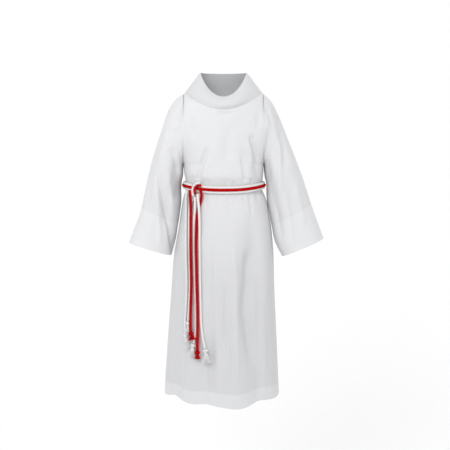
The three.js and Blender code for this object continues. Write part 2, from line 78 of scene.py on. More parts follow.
# Body sections from hem to armpit, from one side seam to the other.
bodyNames = "right left endZ frontY frontZ backY backZ power".split()
bodyRows = [
    (-0.203, 0.191, -1.018, -0.172, -1.030, 0.152, -1.020, 2.3),
    (-0.201, 0.189, -0.974, -0.170, -0.985, 0.149, -0.976, 2.3),
    (-0.192, 0.183, -0.840, -0.162, -0.850, 0.140, -0.838, 2.3),
    (-0.178, 0.174, -0.657, -0.151, -0.666, 0.129, -0.656, 2.35),
    (-0.169, 0.171, -0.547, -0.143, -0.556, 0.121, -0.546, 2.4),
    (-0.153, 0.163, -0.455, -0.134, -0.465, 0.113, -0.454, 2.45),
    (-0.145, 0.154, -0.400, -0.127, -0.411, 0.106, -0.399, 2.5),
    (-0.138, 0.144, -0.354, -0.120, -0.367, 0.098, -0.352, 2.55),
    (-0.129, 0.132, -0.326, -0.1105, -0.340, 0.088, -0.323, 2.6),
    (-0.128, 0.131, -0.308, -0.1095, -0.322, 0.087, -0.305, 2.6),
    (-0.129, 0.132, -0.291, -0.1115, -0.304, 0.089, -0.288, 2.6),
    (-0.133, 0.135, -0.268, -0.122, -0.278, 0.099, -0.266, 2.55),
    (-0.136, 0.136, -0.240, -0.122, -0.248, 0.101, -0.239, 2.5),
]
# Sections above the armpit end on the armhole, turn degrees from its top.
chestNames = "turn frontY frontZ backY backZ round".split()
chestRows = [
    (155, -0.1215, -0.228, 0.103, -0.222, 0.8),
    (130, -0.1205, -0.204, 0.106, -0.196, 0.35),
    (105, -0.1195, -0.176, 0.108, -0.164, 0.08),
    (80, -0.1185, -0.147, 0.109, -0.128, 0),
    (56, -0.117, -0.118, 0.108, -0.092, 0.15),
    (34, -0.1155, -0.091, 0.105, -0.058, 0.45),
    (14, -0.114, -0.071, 0.099, -0.028, 0.8),
    (3, -0.1133, -0.064, 0.0955, -0.0165, 0.95),
]
collarNames = "side sideY sideZ frontY frontZ backY backZ dip".split()
collarRows = [
    (0.1315, 0, 0.003, -0.1125, -0.057, 0.092, -0.006, frontDip),
    (0.119, 0.001, 0.020, -0.118, -0.046, 0.091, 0.014, 2.0),
    (0.106, 0.003, 0.037, -0.114, -0.034, 0.087, 0.035, 1.85),
    (0.093, 0.006, 0.055, -0.103, -0.023, 0.082, 0.055, 1.7),
    (0.080, 0.009, 0.072, -0.087, -0.014, 0.077, 0.074, 1.5),
]


# Helpers.
def mix(a, b, t):
    return a + (b - a) * t


def smoothStep(t):
    c = np.clip(t, 0, 1)
    return c * c * (3 - 2 * c)


def asColumns(names, rows):
    return {name: np.array([row[i] for row in rows], float) for i, name in enumerate(names)}


def readTable(columns, row):
    last = len(next(iter(columns.values()))) - 1
    row = np.clip(row, 0, last)
    i = np.minimum(np.floor(row).astype(int), last - 1)
    t = row - i
    found = {}
    for name, values in columns.items():
        a, b, c, d = (values[np.clip(i + k, 0, last)] for k in (-1, 0, 1, 2))
        found[name] = (b * (2 * t**3 - 3 * t**2 + 1) + (c - a) / 2 * (t**3 - 2 * t**2 + t)
                       + c * (3 * t**2 - 2 * t**3) + (d - b) / 2 * (t**3 - t**2))
    return found


def unit(v):
    return v / np.maximum(np.linalg.norm(v, axis=-1, keepdims=True), 1e-12)


# A large fold is a soft ridge or trough across a panel that fades out at its two ends: where it
# starts and ends, half width, first and last row, height, and how far the hem drops there.
foldFade = {"top": 0.45, "low": 0.3}


def foldHeight(folds, across, row, wrap=False):
    height = np.zeros_like(across)
    for fold in folds:
        at, atTop, width, low, high, depth, _ = fold
        along = np.clip((row - low) / (high - low), 0, 1)
        fade = smoothStep((high - row) / (foldFade["top"] * (high - low)))
        if low > 0:
            fade = fade * smoothStep((row - low) / (foldFade["low"] * (high - low)))
        offset = across - mix(at, atTop, along)
        if wrap:
            offset = (offset + 540) % 360 - 180
        height += depth * fade * np.exp(-(offset / width) ** 2)
    return height


# A crease runs along points (x, z) of the cloth seen from in front: depth is inwards when negative,
# left and right are its half widths on the two sides, start and stop the shares that fade. All
# depths are scaled by creaseRelief.
creaseRelief = 1.45


def creaseHeight(creases, x, z):
    height = np.zeros_like(x)
    for depth, left, right, start, stop, points in creases:
        path = np.array(points, float)
        spans = np.linalg.norm(np.diff(path, axis=0), axis=1)
        gone = np.concatenate([[0], np.cumsum(spans)])
        nearest = np.full_like(x, 1e9)
        side = np.zeros_like(x)
        along = np.zeros_like(x)
        for k, span in enumerate(spans):
            d = (path[k + 1] - path[k]) / span
            t = (x - path[k][0]) * d[0] + (z - path[k][1]) * d[1]
            t = np.clip(t, 0, span)
            dx = x - path[k][0] - d[0] * t
            dz = z - path[k][1] - d[1] * t
            far = np.hypot(dx, dz)
            closer = far < nearest
            nearest = np.where(closer, far, nearest)
            side = np.where(closer, dx, side)
            along = np.where(closer, (gone[k] + t) / gone[-1], along)
        width = np.where(side < 0, left, right)
        fade = smoothStep(along / start) if start else 1.0
        fade = fade * (smoothStep((1 - along) / stop) if stop else 1.0)
        height += depth * fade * np.exp(-(nearest / width) ** 2)
    return creaseRelief * height


# Slow unevenness of worn cloth, longer down the cloth than across it.
def unevenness(points, seed, height):
    flat = points.reshape(-1, 3)
    across, down = unevenScale["across"], unevenScale["down"]
    found = [noise.noise(Vector((p[0] * across + seed, p[1] * across, p[2] * down))) for p in flat]
    return height * np.array(found).reshape(points.shape[:-1])


# Body surface.
def fullSections():
    low = [dict(zip(bodyNames, row), endY=0.0, round=1.0) for row in bodyRows]
    high = []
    for row in chestRows:
        s = dict(zip(chestNames, row))
        turn = math.radians(s.pop("turn"))
        middle = (armhole["top"] + armhole["pit"]) / 2
        reach = (armhole["top"] - armhole["pit"]) / 2
        high.append(dict(s, right=-armhole["x"], left=armhole["x"], power=chestPower,
                         endY=armhole["half"] * math.sin(turn), endZ=middle + reach * math.cos(turn)))
    seam = dict(zip(collarNames, collarRows[0]))
    top = {"right": -seam["side"], "left": seam["side"], "endY": 0.0004, "endZ": seam["sideZ"] - seamGap,
           "frontY": seam["frontY"], "frontZ": seam["frontZ"] - seamGap, "backY": seam["backY"],
           "backZ": seam["backZ"] - seamGap, "round": 1.0, "power": 2.0}
    rows = low + high + [top]
    return {name: np.array([row[name] for row in rows], float) for name in top}


bodyTable = fullSections()
collarTable = asColumns(collarNames, collarRows)
armpitRow = len(bodyRows) - 1
collarSeamRow = len(bodyRows) + len(chestRows)


def smoothBody(across, row, side):
    s = readTable(bodyTable, row)
    q = np.abs(across)
    swing = np.clip(np.sin(q * math.pi / 2), 0, 1)
    fall = np.clip(np.cos(q * math.pi / 2), 0, 1)
    wrap = np.clip(s["round"], 0, 1)
    reach = mix(q, swing ** (2 / s["power"]), wrap)
    bulge = mix(1 - q * q, fall ** (2 / s["power"]), wrap)
    middle = "front" if side < 0 else "back"
    endY = side * np.maximum(s["endY"], seamGap / 2)
    centre = (s["right"] + s["left"]) / 2
    half = (s["left"] - s["right"]) / 2
    return np.stack([centre + np.sign(across) * half * reach, mix(endY, s[middle + "Y"], bulge),
                     mix(s["endZ"], s[middle + "Z"], fall ** frontDip)], -1)


# Steps to either side for finding which way the cloth faces, and where and how it faces at a seam.
probe = {"across": 0.004, "rows": 0.02, "degrees": 1, "seam": 0.999, "seamRise": 0.5}


def bodyNormal(across, row, side):
    left = smoothBody(np.clip(across + probe["across"], -1, 1), row, side)
    right = smoothBody(np.clip(across - probe["across"], -1, 1), row, side)
    upper = smoothBody(across, np.minimum(row + probe["rows"], collarSeamRow), side)
    lower = smoothBody(across, np.maximum(row - probe["rows"], 0), side)
    normal = unit(np.cross(left - right, upper - lower) * -side)
    rise = normal[..., 2] * probe["seamRise"]
    seamward = unit(np.stack([np.sign(across), np.zeros_like(across), rise], -1))
    onSeam = (np.abs(across) > probe["seam"]) & (row <= armpitRow)
    return np.where(onSeam[..., None], seamward, normal)


# Front and back: their large folds and creases.
front = {
    "side": -1,
    "seed": 3.0,
    "columns": 169,
    "folds": [
        (0.14, 0.05, 0.16, 0, 6.5, 0.009, 0.010),
        (0.42, 0.32, 0.12, 0, 6.8, -0.011, -0.004),
        (0.66, 0.50, 0.13, 0, 5.5, 0.006, 0),
        (-0.14, -0.12, 0.10, 0, 3.2, -0.008, -0.004),
        (-0.58, -0.62, 0.15, 0, 4.5, -0.009, -0.013),
        (0.62, 0.42, 0.10, 10, 15, -0.005, 0),
        (-0.48, -0.34, 0.10, 10, 14, -0.004, 0),
    ],
    "creases": [
        # the skirt's main trough and what runs beside it
        (-0.0125, 0.015, 0.024, 0.15, 0.25,
         [(0.086, -0.500), (0.079, -0.547), (0.075, -0.626), (0.067, -0.718), (0.083, -0.826),
          (0.096, -0.925)]),
        (0.004, 0.012, 0.012, 0.3, 0.3, [(0.100, -0.52), (0.104, -0.64), (0.104, -0.76), (0.118, -0.88)]),
        (0.0035, 0.008, 0.010, 0.2, 0.2, [(0.032, -0.47), (0.040, -0.62), (0.043, -0.78), (0.048, -0.97)]),
        (0.003, 0.008, 0.006, 0.3, 0.2, [(0.010, -0.50), (0.012, -0.68), (0.016, -0.86), (0.012, -1.0)]),
        (-0.004, 0.007, 0.009, 0.3, 0.3, [(0.004, -0.58), (0.005, -0.66), (0.004, -0.78), (0.001, -0.87)]),
        (0.003, 0.010, 0.008, 0.3, 0.3,
         [(-0.024, -0.45), (-0.026, -0.62), (-0.022, -0.80), (-0.018, -0.95)]),
        (-0.0045, 0.009, 0.012, 0.4, 0.15,
         [(-0.034, -0.78), (-0.039, -0.869), (-0.040, -0.93), (-0.038, -1.01)]),
        (0.003, 0.010, 0.010, 0.3, 0.3,
         [(-0.062, -0.58), (-0.064, -0.72), (-0.060, -0.86), (-0.062, -0.99)]),
        (-0.0035, 0.008, 0.012, 0.25, 0.2,
         [(-0.146, -0.53), (-0.140, -0.64), (-0.134, -0.78), (-0.136, -0.95)]),
        (-0.004, 0.009, 0.007, 0.3, 0.4, [(-0.150, -0.49), (-0.153, -0.577), (-0.158, -0.66)]),
        (-0.003, 0.010, 0.014, 0.4, 0.2, [(0.138, -0.66), (0.148, -0.78), (0.156, -0.94)]),
        (0.0025, 0.009, 0.009, 0.4, 0.1, [(0.128, -0.74), (0.134, -0.86), (0.138, -1.02)]),
        # above the belt
        (-0.0035, 0.008, 0.008, 0.4, 0.4, [(-0.034, -0.068), (0.004, -0.072), (0.042, -0.067)]),
        (-0.0045, 0.006, 0.012, 0.25, 0.1,
         [(-0.052, -0.172), (-0.064, -0.207), (-0.078, -0.25), (-0.090, -0.294)]),
        (0.003, 0.008, 0.010, 0.3, 0.2, [(-0.044, -0.20), (-0.058, -0.25), (-0.066, -0.295)]),
        (-0.0035, 0.006, 0.010, 0.4, 0.1,
         [(0.052, -0.19), (0.061, -0.216), (0.068, -0.26), (0.071, -0.297)]),
        (-0.006, 0.007, 0.012, 0.2, 0.3,
         [(0.088, -0.135), (0.094, -0.161), (0.106, -0.20), (0.120, -0.248)]),
        (0.0035, 0.010, 0.008, 0.3, 0.3, [(0.078, -0.15), (0.088, -0.20), (0.098, -0.26)]),
        (-0.003, 0.008, 0.012, 0.3, 0.3, [(-0.108, -0.07), (-0.100, -0.12), (-0.094, -0.17)]),
        (-0.0025, 0.010, 0.014, 0.4, 0.4, [(0.112, -0.05), (0.117, -0.091), (0.108, -0.13)]),
        (0.002, 0.020, 0.020, 0.4, 0.4, [(-0.02, -0.11), (-0.03, -0.18), (-0.02, -0.26)]),
        (-0.0025, 0.014, 0.018, 0.4, 0.3, [(0.020, -0.10), (0.012, -0.16), (0.016, -0.24)]),
        # gathers over and under the belt, uneven
        (-0.0022, 0.005, 0.007, 0.5, 0, [(-0.104, -0.270), (-0.107, -0.306)]),
        (-0.0016, 0.004, 0.005, 0.5, 0, [(-0.047, -0.286), (-0.044, -0.310)]),
        (-0.0020, 0.004, 0.006, 0.5, 0, [(0.010, -0.280), (0.008, -0.313)]),
        (-0.0018, 0.004, 0.005, 0.5, 0, [(0.034, -0.286), (0.032, -0.312)]),
        (-0.0020, 0.004, 0.006, 0.5, 0, [(0.094, -0.280), (0.091, -0.303)]),
        (-0.0016, 0.005, 0.007, 0, 0.7, [(-0.058, -0.338), (-0.056, -0.372), (-0.060, -0.410)]),
        (-0.0014, 0.004, 0.006, 0, 0.7, [(-0.020, -0.339), (-0.022, -0.378)]),
        (-0.0016, 0.005, 0.008, 0, 0.7, [(0.016, -0.340), (0.020, -0.385), (0.018, -0.420)]),
        (-0.0020, 0.004, 0.006, 0, 0.7, [(0.064, -0.337), (0.068, -0.372)]),
        (-0.0022, 0.005, 0.007, 0, 0.7, [(0.084, -0.335), (0.092, -0.390), (0.094, -0.440)]),
        (-0.0018, 0.005, 0.007, 0, 0.7, [(0.108, -0.328), (0.118, -0.380)]),
    ],
}
back = {
    "side": 1,
    "seed": 11.0,
    "columns": 141,
    "folds": [
        (0.08, 0.02, 0.16, 0, 7, -0.011, -0.005),
        (-0.3, -0.22, 0.15, 0, 6.5, 0.008, 0.005),
        (0.4, 0.3, 0.15, 0, 6.8, 0.008, 0.006),
        (-0.62, -0.5, 0.13, 0, 5.5, -0.008, -0.005),
        (0.7, 0.58, 0.12, 0, 5, -0.007, -0.003),
        (0.3, 0.4, 0.12, 10, 15, -0.005, 0),
    ],
    "creases": [
        (-0.007, 0.012, 0.016, 0.15, 0.2, [(0.004, -0.42), (0.010, -0.56), (0.006, -0.72), (0.016, -0.94)]),
        (0.0035, 0.010, 0.010, 0.3, 0.2, [(-0.040, -0.46), (-0.048, -0.65), (-0.056, -0.95)]),
        (-0.0045, 0.009, 0.013, 0.3, 0.3, [(-0.078, -0.44), (-0.090, -0.60), (-0.096, -0.82)]),
        (0.003, 0.010, 0.010, 0.3, 0.2, [(0.056, -0.50), (0.066, -0.70), (0.078, -0.98)]),
        (-0.0045, 0.010, 0.014, 0.3, 0.2, [(0.096, -0.47), (0.108, -0.64), (0.122, -0.93)]),
        (0.003, 0.010, 0.010, 0.3, 0.2, [(-0.118, -0.52), (-0.130, -0.72), (-0.140, -0.97)]),
        (-0.0035, 0.010, 0.010, 0.4, 0.1, [(0.036, -0.74), (0.040, -0.88), (0.044, -1.01)]),
        (-0.0045, 0.007, 0.012, 0.3, 0.1, [(0.060, -0.13), (0.048, -0.21), (0.040, -0.285)]),
        (-0.0045, 0.012, 0.007, 0.3, 0.1, [(-0.070, -0.12), (-0.054, -0.20), (-0.046, -0.285)]),
        (0.003, 0.010, 0.010, 0.3, 0.3, [(-0.004, -0.14), (0.002, -0.21), (-0.002, -0.28)]),
        (-0.004, 0.010, 0.012, 0.3, 0.3, [(-0.112, -0.08), (-0.104, -0.15), (-0.100, -0.22)]),
        (-0.004, 0.012, 0.010, 0.3, 0.3, [(0.112, -0.09), (0.106, -0.16), (0.104, -0.23)]),
        (-0.0032, 0.004, 0.006, 0.5, 0, [(-0.084, -0.250), (-0.082, -0.295)]),
        (-0.0028, 0.003, 0.005, 0.5, 0, [(-0.020, -0.262), (-0.022, -0.294)]),
        (-0.0032, 0.004, 0.006, 0.5, 0, [(0.020, -0.248), (0.022, -0.295)]),
        (-0.0030, 0.004, 0.005, 0.5, 0, [(0.076, -0.256), (0.074, -0.294)]),
        (-0.0034, 0.004, 0.007, 0, 0.6, [(-0.102, -0.322), (-0.108, -0.388)]),
        (-0.0034, 0.004, 0.007, 0, 0.6, [(-0.062, -0.324), (-0.066, -0.410)]),
        (-0.0030, 0.003, 0.006, 0, 0.6, [(-0.028, -0.324), (-0.026, -0.375)]),
        (-0.0034, 0.004, 0.007, 0, 0.6, [(0.034, -0.324), (0.038, -0.400)]),
        (-0.0030, 0.004, 0.006, 0, 0.6, [(0.070, -0.322), (0.076, -0.384)]),
        (-0.0034, 0.004, 0.006, 0, 0.6, [(0.104, -0.320), (0.112, -0.405)]),
    ],
}


# Relief fades out towards the side seams and the collar, and is calmed under the belt.
def sideEdge(across):
    return smoothStep((1 - np.abs(across)) / sideFade)


def panelEdge(across, row):
    return sideEdge(across) * smoothStep((collarSeamRow - row) / seamFadeRows)


def beltCalm(row, share):
    return 1 - share * np.exp(-((row - beltRow) / beltCalmRows) ** 2)


def bodyHeight(panel, across, row):
    smooth = smoothBody(across, row, panel["side"])
    edge = panelEdge(across, row)
    large = foldHeight(panel["folds"], across, row)
    small = creaseHeight(panel["creases"], smooth[..., 0], smooth[..., 2])
    return edge * large, edge * beltCalm(row, beltCalmShare["creases"]) * small


def bodyPoint(panel, across, row, inward):
    side = panel["side"]
    large, small = bodyHeight(panel, across, row)
    smooth = smoothBody(across, row, side)
    slow = unevenness(smooth, panel["seed"], unevenHeight["body"])
    calm = beltCalm(row, beltCalmShare["unevenness"])
    lift = large + small + panelEdge(across, row) * calm * slow - inward
    point = smooth + bodyNormal(across, row, side) * lift[..., None]
    for at, _, width, _, _, _, drop in panel["folds"]:
        near = np.exp(-((across - at) / width) ** 2)
        fade = sideEdge(across) * smoothStep((hemDropRows - row) / hemDropRows)
        point[..., 2] -= drop * near * fade
    return point


# Finds where a measure that rises from low to high reaches its target, by halving.
solver = {"halvings": 30, "rounds": 8, "startRow": 6.0, "topRow": 15.0}


def solveRising(low, high, target, measure):
    for _ in range(solver["halvings"]):
        middle = (low + high) / 2
        under = measure(middle) < target
        low, high = np.where(under, middle, low), np.where(under, high, middle)
    return (low + high) / 2


# The places that stand off the front at a list of (x, stand off, z).
def offFront(route):
    x, standOff, z = np.array(route, float).T

    def place(across, row, off):
        return smoothBody(across, row, -1) + bodyNormal(across, row, -1) * off[:, None]

    across, row = np.zeros_like(x), np.full_like(x, solver["startRow"])
    for _ in range(solver["rounds"]):
        row = solveRising(np.zeros_like(x), np.full_like(x, solver["topRow"]), z,
                          lambda r: place(across, r, standOff)[:, 2])
        across = solveRising(np.full_like(x, -sideReach), np.full_like(x, sideReach), x,
                             lambda a: place(a, row, standOff)[:, 0])
    large, small = bodyHeight(front, across, row)
    return place(across, row, standOff + large + np.clip(small, 0, None))


# Meshes.
def makeObject(name, points, faces):
    mesh = bpy.data.meshes.new(name)
    mesh.from_pydata([tuple(p) for p in points], [], faces)
    mesh.update()
    made = bpy.data.objects.new(name, mesh)
    bpy.context.scene.collection.objects.link(made)
    return made


def smoothShade(made, degrees=40):
    bpy.ops.object.select_all(action="DESELECT")
    made.select_set(True)
    bpy.context.view_layer.objects.active = made
    bpy.ops.object.shade_smooth_by_angle(angle=math.radians(degrees))
    made.select_set(False)


def signedVolume(points, faces):
    corners = points[np.array([f[:3] for f in faces])]
    rest = points[np.array([(f[0], f[2], f[3]) for f in faces])]
    total = sum(np.einsum("ij,ij->i", c[:, 0], np.cross(c[:, 1], c[:, 2])).sum() for c in (corners, rest))
    return total / 6


# A closed wall between two grids of points; rows run down or up the cloth and columns across it.
def wallMesh(name, outer, inner, around, upFromEdge):
    rows, columns = outer.shape[:2]
    points = np.concatenate([outer.reshape(-1, 3), inner.reshape(-1, 3)])
    across = np.diff(np.concatenate([outer, outer[:, :1]], 1) if around else outer, axis=1)
    lengths = np.concatenate([np.zeros((rows, 1)), np.cumsum(np.linalg.norm(across, axis=-1), 1)], 1)
    lengths -= lengths[:, -1:] / 2
    faces, marks = [], []

    def at(layer, i, j):
        return layer * rows * columns + i * columns + j % columns

    def quad(*corners):
        faces.append(tuple(at(*c) for c in corners))
        marks.append([(lengths[i, min(j, lengths.shape[1] - 1)], upFromEdge[i]) for _, i, j in corners])

    last = columns if around else columns - 1
    for i in range(rows - 1):
        for j in range(last):
            quad((0, i, j), (0, i, j + 1), (0, i + 1, j + 1), (0, i + 1, j))
            quad((1, i, j), (1, i + 1, j), (1, i + 1, j + 1), (1, i, j + 1))
    for j in range(last):
        quad((0, 0, j), (1, 0, j), (1, 0, j + 1), (0, 0, j + 1))
        quad((0, rows - 1, j), (0, rows - 1, j + 1), (1, rows - 1, j + 1), (1, rows - 1, j))
    if not around:
        for i in range(rows - 1):
            quad((0, i, 0), (0, i + 1, 0), (1, i + 1, 0), (1, i, 0))
            j = columns - 1
            quad((0, i, j), (1, i, j), (1, i + 1, j), (0, i + 1, j))
    if signedVolume(points, faces) < 0:
        faces = [f[::-1] for f in faces]
        marks = [m[::-1] for m in marks]
    made = makeObject(name, points, faces)
    layer = made.data.uv_layers.new(name="cloth")
    layer.data.foreach_set("uv", np.array(marks, np.float32).ravel())
    smoothShade(made)
    return made


# How far each row is up the cloth from its free edge, which is the grid's first row or its last.
def upFrom(grid, edgeFirst):
    middle = grid[:, grid.shape[1] // 2]
    gone = np.concatenate([[0], np.cumsum(np.linalg.norm(np.diff(middle, axis=0), axis=1))])
    return gone if edgeFirst else gone[-1] - gone


# Shader groups.
def newGroup(name, inputs, outputs):
    group = bpy.data.node_groups.new(name, "ShaderNodeTree")
    for label, kind, value in inputs:
        socket = group.interface.new_socket(name=label, in_out="INPUT", socket_type=kind)
        if value is not None:
            socket.default_value = value
    for label, kind in outputs:
        group.interface.new_socket(name=label, in_out="OUTPUT", socket_type=kind)
    return group, group.nodes.new("NodeGroupInput").outputs, group.nodes.new("NodeGroupOutput").inputs


def math2(tree, operation, *values):
    node = tree.nodes.new("ShaderNodeMath")
    node.operation = operation
    for socket, value in zip(node.inputs, values):
        if isinstance(value, (int, float)):
            socket.default_value = value
        else:
            tree.links.new(value, socket)
    return node.outputs[0]


def weaveGroup():
    group, given, result = newGroup(
        "plain weave", [("UV", "NodeSocketVector", None), ("Threads", "NodeSocketFloat", 1500.0)],
        [("Height", "NodeSocketFloat")])
    split = group.nodes.new("ShaderNodeSeparateXYZ")
    group.links.new(given["UV"], split.inputs[0])
    waves = []
    for axis in range(2):
        turns = math2(group, "MULTIPLY", split.outputs[axis], given["Threads"])
        wave = math2(group, "SINE", math2(group, "MULTIPLY", turns, math.pi))
        waves.append(math2(group, "ABSOLUTE", wave))
    group.links.new(math2(group, "MULTIPLY", waves[0], waves[1]), result["Height"])
    return group


# Band is 1 where the hem makes the cloth double, Line is 1 along its stitching.
def hemGroup():
    group, given, result = newGroup(
        "hem band", [("UV", "NodeSocketVector", None), ("Hem", "NodeSocketFloat", 0.05),
                     ("Soft", "NodeSocketFloat", 0.002)],
        [("Band", "NodeSocketFloat"), ("Line", "NodeSocketFloat")])
    split = group.nodes.new("ShaderNodeSeparateXYZ")
    group.links.new(given["UV"], split.inputs[0])
    over = math2(group, "DIVIDE", math2(group, "SUBTRACT", split.outputs[1], given["Hem"]), given["Soft"])
    band = math2(group, "SUBTRACT", 1.0, over)
    clamp = group.nodes.new("ShaderNodeClamp")
    group.links.new(band, clamp.inputs[0])
    group.links.new(clamp.outputs[0], result["Band"])
    near = math2(group, "MULTIPLY", over, over)
    group.links.new(math2(group, "POWER", 0.4, near), result["Line"])
    return group


def fuzzGroup():
    group, given, result = newGroup(
        "yarn fuzz", [("Place", "NodeSocketVector", None), ("Grain", "NodeSocketFloat", 900.0)],
        [("Height", "NodeSocketFloat"), ("Shade", "NodeSocketFloat")])
    grain = group.nodes.new("ShaderNodeTexNoise")
    group.links.new(given["Place"], grain.inputs["Vector"])
    group.links.new(given["Grain"], grain.inputs["Scale"])
    spread = group.nodes.new("ShaderNodeMapRange")
    spread.inputs["To Min"].default_value = 0.82
    spread.inputs["To Max"].default_value = 1.08
    group.links.new(grain.outputs["Fac"], spread.inputs["Value"])
    group.links.new(grain.outputs["Fac"], result["Height"])
    group.links.new(spread.outputs["Result"], result["Shade"])
    return group


weave, hemBand, fuzz = weaveGroup(), hemGroup(), fuzzGroup()


def newMaterial(name):
    material = bpy.data.materials.new(name)
    material.use_nodes = True
    tree = material.node_tree
    return material, tree, tree.nodes["Principled BSDF"]


# White cloth of a given depth, a shade cool.
def paleTone(value):
    return value, value * 1.005, value * 1.026, 1


def clothMaterial(name, hem, single, double, paintedLowShade):
    material, tree, cloth = newMaterial(name)
    place = tree.nodes.new("ShaderNodeUVMap")
    place.uv_map = "cloth"
    thread = tree.nodes.new("ShaderNodeGroup")
    thread.node_tree = weave
    band = tree.nodes.new("ShaderNodeGroup")
    band.node_tree = hemBand
    band.inputs["Hem"].default_value = hem
    for node in (thread, band):
        tree.links.new(place.outputs[0], node.inputs["UV"])
    # painted shade: the skirt below the belt is painted greyer, as the shade of light falling from above
    up = tree.nodes.new("ShaderNodeSeparateXYZ")
    tree.links.new(place.outputs[0], up.inputs[0])
    lowShadeRamp = tree.nodes.new("ShaderNodeMapRange")
    lowShadeRamp.inputs["From Min"].default_value = 0.40
    lowShadeRamp.inputs["From Max"].default_value = 0.76
    tree.links.new(up.outputs["Y"], lowShadeRamp.inputs["Value"])
    ground = tree.nodes.new("ShaderNodeMix")
    ground.data_type = "RGBA"
    ground.inputs[6].default_value = paleTone(paintedLowShade)
    ground.inputs[7].default_value = paleTone(single)
    tree.links.new(lowShadeRamp.outputs["Result"], ground.inputs[0])
    tone = tree.nodes.new("ShaderNodeMix")
    tone.data_type = "RGBA"
    tree.links.new(ground.outputs[2], tone.inputs[6])
    tone.inputs[7].default_value = paleTone(double)
    tree.links.new(band.outputs["Band"], tone.inputs[0])
    stitched = tree.nodes.new("ShaderNodeMix")
    stitched.data_type = "RGBA"
    stitched.inputs[7].default_value = (0.46, 0.465, 0.48, 1)
    tree.links.new(tone.outputs[2], stitched.inputs[6])
    tree.links.new(math2(tree, "MULTIPLY", band.outputs["Line"], 0.22), stitched.inputs[0])
    tree.links.new(stitched.outputs[2], cloth.inputs["Base Color"])
    cloth.inputs["Roughness"].default_value = 0.72
    cloth.inputs["Sheen Weight"].default_value = 0.25
    cloth.inputs["Sheen Roughness"].default_value = 0.5
    cloth.inputs["Specular IOR Level"].default_value = 0.3
    height = math2(tree, "SUBTRACT", math2(tree, "MULTIPLY", thread.outputs["Height"], 0.3),
                   math2(tree, "MULTIPLY", band.outputs["Line"], 0.8))
    bump = tree.nodes.new("ShaderNodeBump")
    bump.inputs["Strength"].default_value = 0.35
    bump.inputs["Distance"].default_value = 0.0004
    tree.links.new(height, bump.inputs["Height"])
    tree.links.new(bump.outputs["Normal"], cloth.inputs["Normal"])
    return material


def cordMaterial(name, color, sheen):
    material, tree, yarn = newMaterial(name)
    place = tree.nodes.new("ShaderNodeTexCoord")
    grain = tree.nodes.new("ShaderNodeGroup")
    grain.node_tree = fuzz
    tree.links.new(place.outputs["Object"], grain.inputs["Place"])
    tone = tree.nodes.new("ShaderNodeMix")
    tone.data_type = "RGBA"
    tone.blend_type = "MULTIPLY"
    tone.inputs[0].default_value = 1.0
    tone.inputs[6].default_value = color
    tree.links.new(grain.outputs["Shade"], tone.inputs[7])
    tree.links.new(tone.outputs[2], yarn.inputs["Base Color"])
    yarn.inputs["Roughness"].default_value = 0.9
    yarn.inputs["Sheen Weight"].default_value = sheen
    yarn.inputs["Specular IOR Level"].default_value = 0.08
    bump = tree.nodes.new("ShaderNodeBump")
    bump.inputs["Strength"].default_value = 0.5
    bump.inputs["Distance"].default_value = 0.0005
    tree.links.new(grain.outputs["Height"], bump.inputs["Height"])
    tree.links.new(bump.outputs["Normal"], yarn.inputs["Normal"])
    return material


cordFinish = {
    "white": (cordMaterial("white yarn", (0.69, 0.70, 0.685, 1), 0.15), "cord_white"),
    "red": (cordMaterial("red yarn", (0.41, 0.0, 0.001, 1), 0.0), "cord_red"),
}


# Dresses a CAD node: the piece takes its material and its place.
def dress(made, material, node):
    made.data.materials.append(material)
    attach(made, "root")
    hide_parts(node)
    return made


# Cords.
rope = {"lay": 0.017, "strands": 3, "sides": 24, "step": 0.0016, "groove": 0.23, "samples": 16}


# A smooth curve through a route's points, cut into even steps.
def smoothPath(points, step):
    p = np.array(points, float)
    p = np.vstack([2 * p[0] - p[1], p, 2 * p[-1] - p[-2]])
    knots = np.concatenate([[0], np.cumsum(np.linalg.norm(np.diff(p, axis=0), axis=1) ** 0.5)])
    dense = []
    for i in range(1, len(p) - 2):
        t0, t1, t2, t3 = knots[i - 1:i + 3]
        t = np.linspace(t1, t2, rope["samples"], endpoint=False)[:, None]
        a1 = (t1 - t) / (t1 - t0) * p[i - 1] + (t - t0) / (t1 - t0) * p[i]
        a2 = (t2 - t) / (t2 - t1) * p[i] + (t - t1) / (t2 - t1) * p[i + 1]
        a3 = (t3 - t) / (t3 - t2) * p[i + 1] + (t - t2) / (t3 - t2) * p[i + 2]
        b1 = (t2 - t) / (t2 - t0) * a1 + (t - t0) / (t2 - t0) * a2
        b2 = (t3 - t) / (t3 - t1) * a2 + (t - t1) / (t3 - t1) * a3
        dense.append((t2 - t) / (t2 - t1) * b1 + (t - t1) / (t2 - t1) * b2)
    dense = np.vstack(dense + [p[-2:-1]])
    gone = np.concatenate([[0], np.cumsum(np.linalg.norm(np.diff(dense, axis=0), axis=1))])
    places = np.linspace(0, gone[-1], max(2, round(gone[-1] / step) + 1))
    return np.stack([np.interp(places, gone, dense[:, k]) for k in range(3)], -1)


def tubePoints(path, radii, sides, lobes=0, lay=1.0, groove=0.0):
    tangents = unit(np.gradient(path, axis=0))
    start = np.array([0.0, 0.0, 1.0]) if abs(tangents[0][2]) < 0.9 else np.array([0.0, 1.0, 0.0])
    right = unit(np.cross(tangents[0], start))
    gone = 0.0
    rings = []
    angles = np.linspace(0, 2 * math.pi, sides, endpoint=False)
    for k, centre in enumerate(path):
        if k:
            gone += float(np.linalg.norm(centre - path[k - 1]))
            right = unit(right - tangents[k] * np.dot(right, tangents[k]))
        up = np.cross(tangents[k], right)
        radius = np.full(sides, radii[k])
        if lobes:
            turned = angles - 2 * math.pi * gone / lay
            radius = radius * (1 - groove + groove * np.abs(np.cos(lobes / 2 * turned)))
        ring = np.cos(angles)[:, None] * right + np.sin(angles)[:, None] * up
        rings.append(centre + ring * radius[:, None])
    return np.array(rings)


